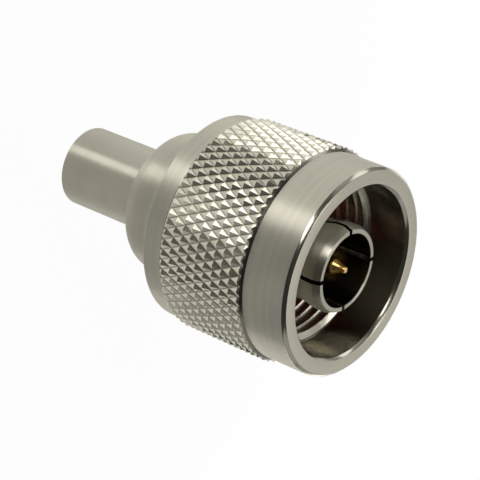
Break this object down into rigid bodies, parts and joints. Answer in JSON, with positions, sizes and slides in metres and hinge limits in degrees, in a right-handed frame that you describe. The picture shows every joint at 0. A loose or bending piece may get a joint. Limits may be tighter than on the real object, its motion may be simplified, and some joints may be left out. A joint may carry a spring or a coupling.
{
  "type": "n type connector",
  "caption": "Straight N type cable plug: knurled coupling nut, slotted outer contact, gold centre pin and crimp ferrule.",
  "frame": {"origin": "centre of the ferrule's cable end, which the plug stands on", "axes": "+Z along the plug's axis, from the cable end towards the mating end; the first slot of the outer contact is 30 degrees from +X"},
  "size_m": [0.0204, 0.0204, 0.032],
  "materials": {
    "nickel_plate": "nickel-plated brass, finely turned, satin",
    "nickel_tube": "nickel-plated drawn tube, smooth satin",
    "contact_plate": "nickel-plated bronze, smooth and bright",
    "gold_plate": "gold plate, bright",
    "spring_bronze": "plain spring bronze",
    "ptfe": "white PTFE, waxy",
    "red_silicone": "red silicone rubber"
  },
  "bodies": {
    "body": {"plug_body": "nickel_plate", "retaining_ring": "spring_bronze", "interface_gasket": "red_silicone", "outer_contact": "contact_plate", "front_insulator": "ptfe", "rear_insulator": "ptfe", "centre_contact": "gold_plate"},
    "nut": {"coupling_nut": "nickel_plate"},
    "ferrule": {"crimp_ferrule": "nickel_tube"}
  },
  "joints": [
    {"name": "nut_spin", "type": "hinge", "parent": "body", "child": "nut", "pos_m": [0, 0, 0.018], "axis": [0, 0, 1], "continuous": true},
    {"name": "ferrule_slide", "type": "slide", "parent": "body", "child": "ferrule", "axis": [0, 0, -1], "range_m": [0, 0.0083]}
  ]
}
